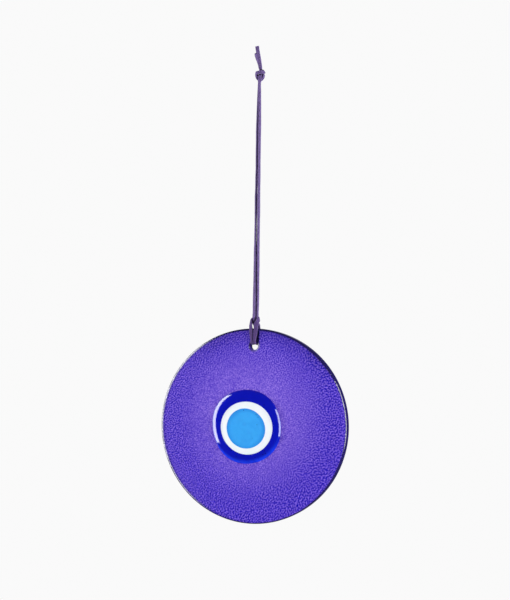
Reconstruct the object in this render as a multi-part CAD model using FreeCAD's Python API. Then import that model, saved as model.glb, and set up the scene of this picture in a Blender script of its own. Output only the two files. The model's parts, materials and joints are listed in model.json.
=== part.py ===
import FreeCAD, Part
import math
import os

# A glass evil eye ornament that hangs from a doubled flat lace. All sizes are in millimetres.
# The origin is the point it hangs from: between the lace's two legs, just under the knot,
# and over the middle of the disc's thickness. +Z is up, +X is to the right of someone who
# faces the eye, and the eye looks along -Y.

# Glass: a round disc with three drops of coloured glass sunk into its face, one in another.
DISC_DIAMETER = 130.0
DISC_THICKNESS = 7.0
DISC_EDGE_ROUND = 1.2
HOLE_DIAMETER = 5.0
HOLE_BELOW_RIM = 11.8
HOLE_EDGE_ROUND = 2.2
DOME_DIAMETER = 49.2
DOME_HEIGHT = 3.6
DOME_SINK = 1.5
WHITE_DIAMETER = 35.6
WHITE_DEPTH = 2.6
IRIS_DIAMETER = 26.8
IRIS_DEPTH = 1.4
DOME_OFFSET = (-4.0, 0.0)    # right and up from the disc's centre, as are the next two
WHITE_OFFSET = (-2.9, -1.2)
IRIS_OFFSET = (-3.3, -1.6)

# Lace: one flat lace, doubled. Its middle is hitched through the hole, and its ends are
# tied together in an overhand knot.
LACE_WIDTH = 3.0
LACE_THICKNESS = 1.5
LEG_SPACING = 2.3
LEG_TWIST = math.radians(-90.0)
KNOT_ABOVE_RIM = 165.9
KNOT_WIDTH = 6.8
KNOT_DEPTH = 6.2
KNOT_HEIGHT = 8.8
FRONT_TAIL_LENGTH = 15.0
BACK_TAIL_LENGTH = 10.5
TAIL_LEAN = -2.2
TAIL_SPREAD = 2.0
HITCH_CORD_DIAMETER = 1.4
HITCH_TOP_ABOVE_RIM = 7.85
JOINT_GAP = 0.15
SECTION_STEP = 12.0

# Places worked out from the dimensions above.
DISC_RADIUS = DISC_DIAMETER / 2
RIM_Z = -KNOT_ABOVE_RIM
DISC_Z = RIM_Z - DISC_RADIUS
HOLE_Z = RIM_Z - HOLE_BELOW_RIM
FACE_Y = -DISC_THICKNESS / 2
BACK_Y = DISC_THICKNESS / 2
PAIR_HALF_DEPTH = (LEG_SPACING + LACE_THICKNESS) / 2
LACE_HALF_WIDTH = LACE_WIDTH / 2
KNOT_TOP_Z = KNOT_HEIGHT
HITCH_TOP_Z = RIM_Z + HITCH_TOP_ABOVE_RIM

# Heights of the lace's bending points.
TIP_Z = HITCH_TOP_Z + JOINT_GAP + LACE_HALF_WIDTH
SWING_SIDE_Z = -JOINT_GAP - LACE_HALF_WIDTH
SWING_FRONT_Z = SWING_SIDE_Z - 6.0
TWIST_Z = (TIP_Z + SWING_FRONT_Z) / 2
TAIL_BEND_Z = KNOT_TOP_Z + JOINT_GAP + LACE_HALF_WIDTH

X_AXIS = FreeCAD.Vector(1, 0, 0)
Y_AXIS = FreeCAD.Vector(0, 1, 0)
Z_AXIS = FreeCAD.Vector(0, 0, 1)
LARGE = 400.0


def turned_on_face(profile, offset):
    """Solid swept from a closed profile about an axis square to the disc's face, placed at an
    offset from the disc's centre."""
    solid = Part.Face(Part.Wire(profile)).revolve(FreeCAD.Vector(), Y_AXIS, 360)
    solid.translate(FreeCAD.Vector(offset[0], FACE_Y, DISC_Z + offset[1]))
    return solid


def at(radius, height):
    """A profile point: distance from the turning axis, and height above the disc's face."""
    return FreeCAD.Vector(radius, -height, 0)


def line(start, end):
    return Part.makeLine(at(*start), at(*end))


def arc(start, middle, end):
    return Part.Arc(at(*start), at(*middle), at(*end)).toShape()


def cap(pole_height, edge):
    """Arc of a spherical cap from its pole on the turning axis to its edge."""
    rise = pole_height - edge[1]
    sphere_radius = (edge[0] ** 2 + rise ** 2) / (2 * abs(rise))
    half = edge[0] / 2
    drop = sphere_radius - math.sqrt(sphere_radius ** 2 - half ** 2)
    return arc((0, pole_height), (half, pole_height - math.copysign(drop, rise)), edge)


def disc_blank():
    """The plain round disc with its rounded edge and its hole, before the eye is sunk in."""
    disc = Part.makeCylinder(
        DISC_RADIUS, DISC_THICKNESS, FreeCAD.Vector(0, FACE_Y, DISC_Z), Y_AXIS)
    disc = disc.makeFillet(DISC_EDGE_ROUND, round_edges(disc, DISC_RADIUS))
    hole = Part.makeCylinder(
        HOLE_DIAMETER / 2, DISC_THICKNESS, FreeCAD.Vector(0, FACE_Y, HOLE_Z), Y_AXIS)
    disc = disc.cut(hole)
    return disc.makeFillet(HOLE_EDGE_ROUND, round_edges(disc, HOLE_DIAMETER / 2))


def round_edges(solid, radius):
    """The solid's circular edges of one radius."""
    return [edge for edge in solid.Edges
            if isinstance(edge.Curve, Part.Circle) and abs(edge.Curve.Radius - radius) < 1e-6]


def eye_blank():
    """The whole raised eye: a steep-sided drop with a gently crowned top and a dished base."""
    radius = DOME_DIAMETER / 2
    shoulder = (radius * 0.84, DOME_HEIGHT * 0.88)
    crown = cap(DOME_HEIGHT, shoulder)
    side = arc(shoulder, (radius * 0.955, DOME_HEIGHT * 0.58), (radius, 0))
    base = cap(-DOME_SINK, (radius, 0))
    axis = line((0, -DOME_SINK), (0, DOME_HEIGHT))
    return turned_on_face([crown, side, base, axis], DOME_OFFSET)


def drop_space(diameter, depth, offset):
    """The space a sunken drop takes: a bowl of the given depth under the crown, open above."""
    radius = diameter / 2
    mouth = DOME_HEIGHT * 0.9
    floor = DOME_HEIGHT - depth
    top = DOME_HEIGHT * 2
    bowl = cap(floor, (radius, mouth))
    wall = line((radius, mouth), (radius, top))
    lid = line((radius, top), (0, top))
    axis = line((0, top), (0, floor))
    return turned_on_face([bowl, wall, lid, axis], offset)


def glass_parts():
    """The disc and the three drops, each cut to fit the next with no gap and no overlap."""
    eye = eye_blank()
    white_space = drop_space(WHITE_DIAMETER, WHITE_DEPTH, WHITE_OFFSET)
    iris_space = drop_space(IRIS_DIAMETER, IRIS_DEPTH, IRIS_OFFSET)
    return {
        "glass_disc": disc_blank().cut(eye),
        "cobalt_dome": eye.cut(white_space),
        "white_layer": eye.common(white_space).cut(iris_space),
        "blue_iris": eye.common(white_space).common(iris_space),
    }


def lace_outline(x, y, z, turn):
    """The lace's cross-section at height z: a flat strip with round edges, thin along turn."""
    flat = (LACE_WIDTH - LACE_THICKNESS) / 2
    half = LACE_THICKNESS / 2
    place = FreeCAD.Placement(
        FreeCAD.Vector(x, y, z), FreeCAD.Rotation(Z_AXIS, math.degrees(turn)))

    def point(across, along):
        return place.multVec(FreeCAD.Vector(across, along, 0))

    return Part.Wire([
        Part.makeLine(point(half, -flat), point(half, flat)),
        Part.Arc(point(half, flat), point(0, flat + half), point(-half, flat)).toShape(),
        Part.makeLine(point(-half, flat), point(-half, -flat)),
        Part.Arc(point(-half, -flat), point(0, -flat - half), point(half, -flat)).toShape(),
    ])


def leg_turn(z):
    """How far the pair of legs has turned at height z: side by side below, in line above."""
    share = (z - TIP_Z) / (SWING_FRONT_Z - TIP_Z)
    return LEG_TWIST * min(max(share, 0.0), 1.0)


def leg(side, bottom, top):
    """A length of one leg. Side is -1 for the left leg and +1 for the right one."""
    steps = max(1, math.ceil((top - bottom) / SECTION_STEP))
    outlines = []
    for step in range(steps + 1):
        z = bottom + (top - bottom) * step / steps
        turn = leg_turn(z)
        reach = side * LEG_SPACING / 2
        outlines.append(lace_outline(
            reach * math.cos(turn), reach * math.sin(turn), z, turn))
    return Part.makeLoft(outlines, True, False)


def round_end(solid, axis, z, radius, keep_below):
    """Rounds the end of a lace about the line through height z along axis, where it bends."""
    centre = FreeCAD.Vector(0, 0, z)
    roller = Part.makeCylinder(radius, LARGE, centre - axis * (LARGE / 2), axis)
    low = z - LARGE if keep_below else z
    beyond = Part.makeBox(LARGE, LARGE, LARGE, FreeCAD.Vector(-LARGE / 2, -LARGE / 2, low))
    return solid.common(roller.fuse(beyond))


def leg_parts(side):
    """One leg in three lengths that meet at the bending and twisting points."""
    top = leg(side, SWING_FRONT_Z + PAIR_HALF_DEPTH + JOINT_GAP, SWING_SIDE_Z + LACE_HALF_WIDTH)
    upper = leg(side, TWIST_Z + JOINT_GAP / 2, SWING_FRONT_Z + PAIR_HALF_DEPTH)
    lower = leg(side, TIP_Z - LACE_HALF_WIDTH, TWIST_Z - JOINT_GAP / 2)
    name = "left" if side < 0 else "right"
    return {
        name + "_leg_top": round_end(top, Y_AXIS, SWING_SIDE_Z, LACE_HALF_WIDTH, True),
        name + "_leg_upper": round_end(upper, X_AXIS, SWING_FRONT_Z, PAIR_HALF_DEPTH, True),
        name + "_leg_lower": round_end(lower, X_AXIS, TIP_Z, LACE_HALF_WIDTH, False),
    }


def top_knot():
    """The overhand knot as one plain barrel of the knot's outer size."""
    half = KNOT_HEIGHT / 2
    radius = KNOT_WIDTH / 2
    end = radius * 0.55
    belly = Part.Arc(
        FreeCAD.Vector(end, 0, -half), FreeCAD.Vector(radius, 0, 0), FreeCAD.Vector(end, 0, half))
    profile = Part.Wire([
        Part.makeLine(FreeCAD.Vector(0, 0, -half), FreeCAD.Vector(end, 0, -half)),
        belly.toShape(),
        Part.makeLine(FreeCAD.Vector(end, 0, half), FreeCAD.Vector(0, 0, half)),
        Part.makeLine(FreeCAD.Vector(0, 0, half), FreeCAD.Vector(0, 0, -half)),
    ])
    barrel = Part.Face(profile).revolve(FreeCAD.Vector(), Z_AXIS, 360)
    flatten = FreeCAD.Matrix()
    flatten.scale(1.0, KNOT_DEPTH / KNOT_WIDTH, 1.0)
    knot = barrel.transformGeometry(flatten)
    knot.translate(FreeCAD.Vector(0, 0, half))
    return knot


def tail(side):
    """One free end above the knot. Side is -1 for the front tail and +1 for the back one."""
    length = FRONT_TAIL_LENGTH if side < 0 else BACK_TAIL_LENGTH
    bottom = KNOT_TOP_Z + JOINT_GAP
    outlines = []
    for share in (0.0, 0.5, 1.0):
        y = side * TAIL_SPREAD / 2 * (1.0 + 0.3 * share)
        x = TAIL_LEAN * share
        outlines.append(lace_outline(x, y, bottom + length * share, LEG_TWIST))
    strip = Part.makeLoft(outlines, True, False)
    return round_end(strip, X_AXIS, TAIL_BEND_Z, LACE_HALF_WIDTH, False)


def hitch_path():
    """Points along the hitch from the left leg to the right one. Each half comes down in
    front of the crosspiece, dives to the back face, comes forward through the hole, climbs
    the front face and turns back round the legs as the crosspiece."""
    back_y = BACK_Y + 1.3
    front_y = FACE_Y - 1.3
    half = [
        (1.25, 0.0, HITCH_TOP_Z + 0.5),
        (1.1, -0.3, RIM_Z + 5.6),
        (1.0, 1.0, RIM_Z + 3.2),
        (1.0, BACK_Y + 0.2, RIM_Z + 2.0),
        (1.0, back_y, RIM_Z - 1.0),
        (0.95, back_y, HOLE_Z + 4.0),
        (0.9, BACK_Y + 0.5, HOLE_Z + 1.2),
        (0.9, 0.0, HOLE_Z + 0.7),
        (0.9, FACE_Y - 0.5, HOLE_Z + 1.2),
        (1.2, front_y, HOLE_Z + 4.0),
        (2.0, front_y, RIM_Z - 1.0),
        (2.7, FACE_Y + 0.2, RIM_Z + 3.0),
        (2.8, -0.5, RIM_Z + 5.4),
        (1.8, 1.9, RIM_Z + 5.9),
    ]
    middle = [(0.0, 2.3, RIM_Z + 5.9)]
    left = [(-x, y, z) for x, y, z in half]
    return [FreeCAD.Vector(*point) for point in left + middle + half[::-1]]


def lace_hitch():
    """The hitch as one round cord of the lace's thickness."""
    path = Part.BSplineCurve()
    path.interpolate(hitch_path())
    spine = Part.Wire(path.toShape())
    start = path.value(path.FirstParameter)
    heading = path.tangent(path.FirstParameter)[0]
    outline = Part.Wire(Part.makeCircle(HITCH_CORD_DIAMETER / 2, start, heading))
    cord = spine.makePipeShell([outline], True, True)
    above = Part.makeBox(
        LARGE, LARGE, LARGE, FreeCAD.Vector(-LARGE / 2, -LARGE / 2, HITCH_TOP_Z))
    return cord.cut(above)


def lace_parts():
    """Every length of the lace."""
    parts = {"lace_hitch": lace_hitch(), "top_knot": top_knot()}
    parts["tail_front"] = tail(-1)
    parts["tail_back"] = tail(1)
    parts.update(leg_parts(-1))
    parts.update(leg_parts(1))
    return parts


def main():
    os.makedirs("parts", exist_ok=True)
    for name, shape in {**glass_parts(), **lace_parts()}.items():
        solid = shape.Solids[0]
        solid.exportStep("parts/" + name + ".step")


main()
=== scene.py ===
import json
import math

import bmesh
import bpy
import numpy as np
from mathutils import Matrix, Vector


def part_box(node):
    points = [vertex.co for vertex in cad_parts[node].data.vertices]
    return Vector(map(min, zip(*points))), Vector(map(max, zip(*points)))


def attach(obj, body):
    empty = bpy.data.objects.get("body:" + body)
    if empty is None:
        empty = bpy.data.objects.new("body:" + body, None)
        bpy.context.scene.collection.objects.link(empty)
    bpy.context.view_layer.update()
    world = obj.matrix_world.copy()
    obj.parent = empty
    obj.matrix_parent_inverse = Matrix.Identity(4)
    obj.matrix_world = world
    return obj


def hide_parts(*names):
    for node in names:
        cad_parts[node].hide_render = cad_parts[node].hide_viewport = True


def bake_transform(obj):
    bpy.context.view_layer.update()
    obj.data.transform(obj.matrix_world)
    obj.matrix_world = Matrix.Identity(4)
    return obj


# Looks of a glass evil eye ornament on a doubled suede lace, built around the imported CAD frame.
# Shapes are worked out in millimetres and become metres in mesh_piece().
# The frame's +Z is up, and the eye looks along -Y.

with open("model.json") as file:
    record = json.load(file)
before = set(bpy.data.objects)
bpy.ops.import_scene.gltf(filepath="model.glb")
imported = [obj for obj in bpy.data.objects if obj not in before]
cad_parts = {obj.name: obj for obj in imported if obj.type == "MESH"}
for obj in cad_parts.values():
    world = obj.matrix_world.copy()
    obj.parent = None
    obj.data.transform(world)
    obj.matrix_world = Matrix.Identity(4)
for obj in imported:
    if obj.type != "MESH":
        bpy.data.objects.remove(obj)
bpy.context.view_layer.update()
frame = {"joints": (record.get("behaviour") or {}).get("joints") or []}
MM = 0.001
RANDOM = np.random.default_rng(7)


def node_box(node):
    """Lowest and highest corner of a CAD node, in millimetres."""
    low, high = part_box(node)
    return np.array(low) / MM, np.array(high) / MM


def joint_height(name):
    """Height of a joint's pivot, in millimetres."""
    return next(j for j in frame["joints"] if j["name"] == name)["pos_m"][2] / MM


# Places read from the frame.
DISC_LOW, DISC_HIGH = node_box("glass_disc")
DOME_LOW, DOME_HIGH = node_box("cobalt_dome")
WHITE_LOW, WHITE_HIGH = node_box("white_layer")
IRIS_LOW, IRIS_HIGH = node_box("blue_iris")
KNOT_LOW, KNOT_HIGH = node_box("top_knot")
TAIL_TOPS = {-1: node_box("tail_back")[1][2], 1: node_box("tail_front")[1][2]}
RIM_Z = DISC_HIGH[2]
RIM_RADIUS = (DISC_HIGH[2] - DISC_LOW[2]) / 2
DISC_Z = RIM_Z - RIM_RADIUS
FACE_Y = DISC_LOW[1]
BACK_Y = DISC_HIGH[1]
HOLE_Z = joint_height("disc_rock")
TIP_Z = joint_height("disc_tip")
SWING_FRONT_Z = joint_height("swing_front")
SWING_SIDE_Z = joint_height("swing_side")

# Glass sizes, in millimetres.
HOLE_RADIUS = 2.5
EDGE_ROUND = 1.2
HOLE_EDGE_ROUND = 2.2
EYE_SINK = DOME_HIGH[1] - FACE_Y
EYE_HEIGHT = FACE_Y - IRIS_LOW[1]
FOOT_HEIGHT = 0.9
WHITE_DEPTH = 2.6
IRIS_DEPTH = 1.4
FUSED_OVERLAP = 0.12

# Lace sizes, in millimetres.
LACE_WIDTH = 3.0
LACE_THICKNESS = 1.5
JOINT_GAP = 0.15

# The main view's turn to the right of straight in front.
VIEW_TURN = math.radians(18.2)


# ------ small helpers

def smooth_step(low, high, value):
    """0 at low and 1 at high, with a smooth change between. Low may be above high."""
    share = np.clip((value - low) / (high - low), 0, 1)
    return share * share * (3 - 2 * share)


def unit(vectors):
    """Vectors made one long."""
    return vectors / np.linalg.norm(vectors, axis=-1, keepdims=True)


def seen(across, depth, up=0.0):
    """A place or direction given as the viewer sees it: to the right, away, and up."""
    x = across * math.cos(VIEW_TURN) - depth * math.sin(VIEW_TURN)
    y = across * math.sin(VIEW_TURN) + depth * math.cos(VIEW_TURN)
    return (x, y, up)


def mesh_piece(name, points, faces, material):
    """A mesh object from points in millimetres."""
    mesh = bpy.data.meshes.new(name)
    mesh.from_pydata((np.asarray(points) * MM).tolist(), [], faces)
    mesh.validate()
    mesh.polygons.foreach_set("use_smooth", [True] * len(mesh.polygons))
    mesh.materials.append(material)
    piece = bpy.data.objects.new(name, mesh)
    bpy.context.scene.collection.objects.link(piece)
    return piece


def face_outwards(piece):
    """Turns every face of a closed mesh to look out."""
    work = bmesh.new()
    work.from_mesh(piece.data)
    bmesh.ops.recalc_face_normals(work, faces=work.faces)
    work.to_mesh(piece.data)
    work.free()


def grid_faces(rings, around):
    """Quads between neighbouring rings of points."""
    faces = []
    for ring in range(rings - 1):
        here, there = ring * around, (ring + 1) * around
        for k in range(around):
            after = (k + 1) % around
            faces.append((here + k, here + after, there + after, there + k))
    return faces


# ------ materials

class Nodes:
    """A small wrapper that makes a node tree short to write."""

    def __init__(self, tree):
        self.tree = tree
        self.tree.nodes.clear()

    def node(self, kind, inputs=None, **settings):
        made = self.tree.nodes.new("ShaderNode" + kind)
        for key, value in settings.items():
            setattr(made, key, value)
        for key, value in (inputs or {}).items():
            self.feed(made.inputs[key], value)
        return made

    def feed(self, socket, value):
        """Links an output to an input, or sets the input's value. Colours are (r, g, b)."""
        if isinstance(value, bpy.types.NodeSocket):
            self.tree.links.new(value, socket)
        elif socket.type == "RGBA":
            socket.default_value = (*value, 1.0)
        else:
            socket.default_value = value

    def place(self):
        """Position in millimetres at rest, from the mesh's own coordinates."""
        source = self.node("TexCoord").outputs["Object"]
        return self.node("VectorMath", {0: source, "Scale": 1 / MM}, operation="SCALE").outputs[0]

    def noise(self, vector, scale, detail=2.0, roughness=0.5, distortion=0.0):
        values = {"Vector": vector, "Scale": scale, "Detail": detail,
                  "Roughness": roughness, "Distortion": distortion}
        return self.node("TexNoise", values).outputs["Fac"]

    def ramp(self, factor, stops):
        """A colour ramp. Stops are (place, colour) pairs."""
        made = self.node("ValToRGB", {"Fac": factor})
        elements = made.color_ramp.elements
        while len(elements) < len(stops):
            elements.new(0.5)
        for element, (place, colour) in zip(elements, stops):
            element.position = place
            element.color = (*colour, 1.0)
        return made.outputs["Color"]

    def mix(self, factor, first, second):
        """A colour between two others."""
        return self.node("Mix", {0: factor, 6: first, 7: second}, data_type="RGBA").outputs[2]

    def math(self, operation, first, second=0.0, third=0.0):
        return self.node("Math", {0: first, 1: second, 2: third}, operation=operation).outputs[0]

    def remap(self, value, low, high, to_low=0.0, to_high=1.0):
        """A smooth change from to_low to to_high while the value goes from low to high."""
        values = {"Value": value, "From Min": low, "From Max": high,
                  "To Min": to_low, "To Max": to_high}
        return self.node("MapRange", values, interpolation_type="SMOOTHSTEP").outputs[0]

    def bump(self, height, distance, strength):
        """A bumpy normal. Distance is the bumps' full height in millimetres."""
        values = {"Height": height, "Distance": distance * MM, "Strength": strength}
        return self.node("Bump", values).outputs["Normal"]

    def open_air(self, reach):
        """1 in the open and 0 deep in a crease. Reach is in millimetres."""
        values = {"Distance": reach * MM}
        return self.node("AmbientOcclusion", values, samples=8).outputs["AO"]

    def attribute(self, name):
        """A number that write_attribute() has left on the mesh."""
        return self.node("Attribute", attribute_name=name).outputs["Fac"]

    def between(self, share, first, second):
        """A number between two others."""
        return self.node("Mix", {0: share, 2: first, 3: second}).outputs[0]

    def for_camera(self, shown, other):
        """One shader for what the camera sees directly, and another for all other light."""
        path = self.node("LightPath").outputs["Is Camera Ray"]
        return self.node("MixShader", {0: path, 1: other, 2: shown}).outputs[0]


class Shader(Nodes):
    """The node tree of a new material."""

    def __init__(self, name):
        self.material = bpy.data.materials.new(name)
        self.material.use_nodes = True
        super().__init__(self.material.node_tree)
        self.output = self.tree.nodes.new("ShaderNodeOutputMaterial")

    def surface(self, **inputs):
        """A Principled surface. Underscores in a name stand for spaces."""
        values = {key.replace("_", " "): value for key, value in inputs.items()}
        shader = self.node("BsdfPrincipled", values)
        self.tree.links.new(shader.outputs[0], self.output.inputs["Surface"])


# Colours of the violet glass. Those in pairs change from near the rim to near the eye.
# The wrinkles are real relief; the ridges' paler colours are a painted reflection of the light on
# them.
GROOVE_COLOURS = ((0.0, 0.0, 0.40), (0.10, 0.05, 0.62))
RIDGE_COLOURS = ((0.29, 0.165, 0.92), (0.49, 0.32, 0.98))
PLAIN_COLOURS = ((0.16, 0.12, 0.70), (0.50, 0.42, 0.95))
CLOUD_COLOUR = (0.10, 0.05, 0.6)
# The dark rim colour is painted shade, and the pale edge colour is a painted highlight on the left
# edge.
RIM_SHADE_COLOUR = (0.010, 0.006, 0.08)
EDGE_HIGHLIGHT_COLOUR = (0.93, 0.92, 1.0)
DEPTH_COLOUR = (0.55, 0.40, 0.80)

# How much of the light goes through the face and through the rim's painted dark band.
FACE_CLEARNESS = 0.4
RIM_CLEARNESS = 0.1

# Refraction of all the glass.
GLASS_IOR = 1.5


def violet_glass():
    """Clear violet glass, lighter round the eye, with a net of fine chill wrinkles on its face,
    painted shade on its rim, and a painted pale highlight on the left edge."""
    s = Shader("violet_glass")
    place = s.place()
    glow, face, rim, side = (s.attribute(name) for name in ("glow", "face", "rim", "side"))
    fine = s.noise(place, scale=1.05, detail=1.0, distortion=0.3)
    grain = s.remap(fine, 0.35, 0.65)
    wrinkle_share = s.remap(s.attribute("coarse"), 0.0, 1.0, 0.55, 0.9)
    lines = s.math("POWER", s.between(wrinkle_share, grain, s.attribute("wrinkle")), 1.6)
    # Painted reflection: the ridges are paler than the grooves.
    colour = s.mix(lines, s.mix(glow, *GROOVE_COLOURS), s.mix(glow, *RIDGE_COLOURS))
    cloud = s.noise(place, scale=0.045, detail=3.0)
    colour = s.mix(s.remap(cloud, 0.3, 0.7, 0.0, 0.25), colour, CLOUD_COLOUR)
    body = s.mix(face, s.mix(glow, *PLAIN_COLOURS), colour)
    # Painted shade on the rim, then a painted highlight on the left edge.
    body = s.mix(rim, body, RIM_SHADE_COLOUR)
    body = s.mix(s.attribute("edge_highlight"), body, EDGE_HIGHLIGHT_COLOUR)
    clear = s.math("MULTIPLY", s.remap(face, 0.0, 1.0, 1.0, FACE_CLEARNESS),
                   s.remap(rim, 0.0, 1.0, 1.0, RIM_CLEARNESS))
    # On the side wall the reflection is turned down, so that the rim's painted shade stays dark.
    s.surface(Base_Color=body, Roughness=0.06, IOR=GLASS_IOR, Transmission_Weight=clear,
              Normal=s.bump(fine, distance=0.05, strength=0.6),
              Specular_IOR_Level=s.remap(side, 0.0, 1.0, 0.5, 0.03),
              Coat_Weight=s.math("SUBTRACT", rim, side), Coat_Roughness=0.05)
    absorb = s.node("VolumeAbsorption", {"Color": DEPTH_COLOUR, "Density": 200.0})
    s.tree.links.new(absorb.outputs[0], s.output.inputs["Volume"])
    return s.material


# Each drop's colours, among them a painted glow along the bottom of its rim, and the share of its
# radius where its rim colour starts.
COBALT = {"middle": (0.0005, 0.004, 0.42), "rim": (0.001, 0.004, 0.36),
          "glowing_low_rim": (0.006, 0.045, 0.85), "speck": (0.0, 0.0, 0.04), "rim_start": 0.89}
WHITE_GLASS = {"middle": (0.87, 0.885, 0.925), "rim": (0.79, 0.80, 0.87),
               "glowing_low_rim": (0.79, 0.80, 0.87), "speck": (0.80, 0.81, 0.9), "rim_start": 0.9}
LIGHT_BLUE = {"middle": (0.044, 0.375, 0.87), "rim": (0.026, 0.27, 0.77),
              "glowing_low_rim": (0.03, 0.30, 0.81), "speck": (0.015, 0.12, 0.42), "rim_start": 0.75}


def poured_glass(name, outline, middle, rim, glowing_low_rim, speck, rim_start):
    """Opaque poured glass: its colour changes towards its rim, with clouds and tiny specks.
    Along the bottom the rim may have a painted glow, standing for light that gets in there."""
    s = Shader(name)
    place = s.place()
    centre = (outline.x, 0.0, outline.z)
    offset = s.node("VectorMath", {0: place, 1: centre}, operation="SUBTRACT").outputs[0]
    flat = s.node("VectorMath", {0: offset, 1: (1.0, 0.0, 1.0)}, operation="MULTIPLY").outputs[0]
    distance = s.node("VectorMath", {0: flat}, operation="LENGTH").outputs["Value"]
    near_rim = s.remap(s.math("DIVIDE", distance, outline.radius), rim_start, 1.0)
    height = s.node("SeparateXYZ", {0: offset}).outputs["Z"]
    # Painted glow: the rim is brighter along the bottom, as if light got in there.
    low = s.remap(s.math("DIVIDE", height, outline.radius), -0.9, -0.1, 1.0, 0.0)
    colour = s.mix(near_rim, middle, s.mix(low, rim, glowing_low_rim))
    cloud = s.noise(place, scale=0.16, detail=3.0, roughness=0.6, distortion=1.5)
    colour = s.mix(s.remap(cloud, 0.35, 0.75, 0.0, 0.35), colour, rim)
    cells = s.node("TexVoronoi", {"Vector": place, "Scale": 0.33, "Randomness": 1.0})
    dot = s.remap(cells.outputs["Distance"], 0.07, 0.16, 1.0, 0.0)
    chosen = s.math("GREATER_THAN", s.noise(place, scale=0.2, detail=1.0), 0.5)
    colour = s.mix(s.math("MULTIPLY", dot, s.math("MULTIPLY", chosen, 0.9)), colour, speck)
    waves = s.noise(place, scale=0.25)
    s.surface(Base_Color=colour, Roughness=s.remap(cloud, 0.2, 0.8, 0.03, 0.08), IOR=GLASS_IOR,
              Subsurface_Weight=0.15, Subsurface_Scale=0.002, Coat_Weight=0.8,
              Coat_Roughness=0.02, Normal=s.bump(waves, distance=0.25, strength=0.5))
    return s.material


# Colours of the suede: its fibres from the deepest to the highest, then what changes them, among
# them painted sheen on the edges and painted shade. A crease is shaded up to CREASE_REACH
# millimetres from its bottom.
FIBRE_COLOURS = [(0.25, (0.055, 0.036, 0.11)), (0.55, (0.105, 0.068, 0.195)),
                 (0.85, (0.17, 0.115, 0.29))]
BLOTCH_COLOUR = (0.14, 0.095, 0.25)
EDGE_SHEEN_COLOUR = (0.18, 0.13, 0.32)
HITCH_SHADE_COLOUR = (0.045, 0.013, 0.125)
CREASE_SHADE_COLOUR = (0.012, 0.008, 0.026)
SHEEN_COLOUR = (0.75, 0.65, 0.95)
CREASE_REACH = 2.5


def suede():
    """Napped purple suede: short fibres, painted sheen on its edges, painted shade in its creases,
    and a soft sheen. Where it is pulled tight, in the hitch, it has painted shade."""
    s = Shader("purple_suede")
    place = s.place()
    fibres = s.noise(place, scale=4.0, detail=4.0, roughness=0.7, distortion=0.4)
    blotch = s.noise(place, scale=0.35, detail=3.0, roughness=0.6)
    colour = s.ramp(fibres, FIBRE_COLOURS)
    colour = s.mix(s.remap(blotch, 0.35, 0.7, 0.0, 0.4), colour, BLOTCH_COLOUR)
    # Painted sheen: the edges across the lace's width are paler.
    colour = s.mix(s.math("MULTIPLY", s.attribute("edge"), 0.4), colour, EDGE_SHEEN_COLOUR)
    # Painted shade: the tight hitch is darker.
    colour = s.mix(s.math("MULTIPLY", s.attribute("tight"), 0.4), colour, HITCH_SHADE_COLOUR)
    # Painted shade: creases darken towards their bottom.
    colour = s.mix(s.remap(s.open_air(CREASE_REACH), 0.3, 0.9), CREASE_SHADE_COLOUR, colour)
    s.surface(Base_Color=colour, Roughness=0.92, Specular_IOR_Level=0.15, Sheen_Weight=0.15,
              Sheen_Roughness=0.5, Sheen_Tint=SHEEN_COLOUR,
              Normal=s.bump(fibres, distance=0.12, strength=0.8))
    return s.material


# ------ glass shapes

class Outline:
    """A poured drop's edge: a circle made slightly irregular by a few waves.
    Each wave is (count round the edge, height in millimetres, phase in degrees)."""

    def __init__(self, low, high, waves):
        self.x = (low[0] + high[0]) / 2
        self.z = (low[2] + high[2]) / 2
        self.radius = (high[0] - low[0]) / 2
        self.waves = waves

    def reach(self, angle):
        reach = self.radius * np.ones_like(angle)
        for count, height, phase in self.waves:
            reach = reach + height * np.cos(count * (angle - math.radians(phase)))
        return reach

    def points(self, angle, share=1.0):
        reach = self.reach(angle) * share
        return np.stack([self.x + reach * np.cos(angle), self.z + reach * np.sin(angle)], axis=-1)

    def share_at(self, x, z):
        """0 at the middle, 1 on the edge."""
        across, up = x - self.x, z - self.z
        return np.hypot(across, up) / self.reach(np.arctan2(up, across))


DOME = Outline(DOME_LOW, DOME_HIGH, [(1, 0.4, -90), (2, 0.35, -68), (3, 0.2, 24), (4, 0.3, -33)])
WHITE = Outline(WHITE_LOW, WHITE_HIGH, [(2, 0.27, -17), (3, 0.1, 34)])
IRIS = Outline(IRIS_LOW, IRIS_HIGH, [(2, 0.24, -32), (3, 0.09, -9)])

# How late the crown and its foot start to fall towards the dome's edge, and how full a bowl is.
CROWN_POWER = 6
FOOT_POWER = 24
BOWL_POWER = 0.75

# Points round the drops and rings across them. A drop's innermost ring is at CORE_SHARE of its
# outline. The dome's outer rings crowd towards its rim.
DROP_POINTS = 256
IRIS_POINTS = 192
CORE_SHARE = 0.04
BOWL_RINGS = 12
TOP_RINGS = 24
DISH_RINGS = 16
DOME_RINGS = 48
DOME_CROWDING = 2.4


def eye_height(x, z):
    """Height of the raised eye above the disc's face: a crown that slopes more and more
    towards its edge, on a low steep foot."""
    share = np.clip(DOME.share_at(x, z), 0, 1)
    crown = (EYE_HEIGHT - FOOT_HEIGHT) * (1 - share ** CROWN_POWER)
    return crown + FOOT_HEIGHT * np.sqrt(1 - share ** FOOT_POWER)


def dish_depth(share):
    """Depth of the dish that the dome has sunk into the disc."""
    return EYE_SINK * (1 - np.clip(share, 0, 1) ** 2)


def bowl_depth(share, depth):
    """Depth of a sunken drop below the eye's surface."""
    return depth * (1 - np.clip(share, 0, 1) ** 2) ** BOWL_POWER


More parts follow.
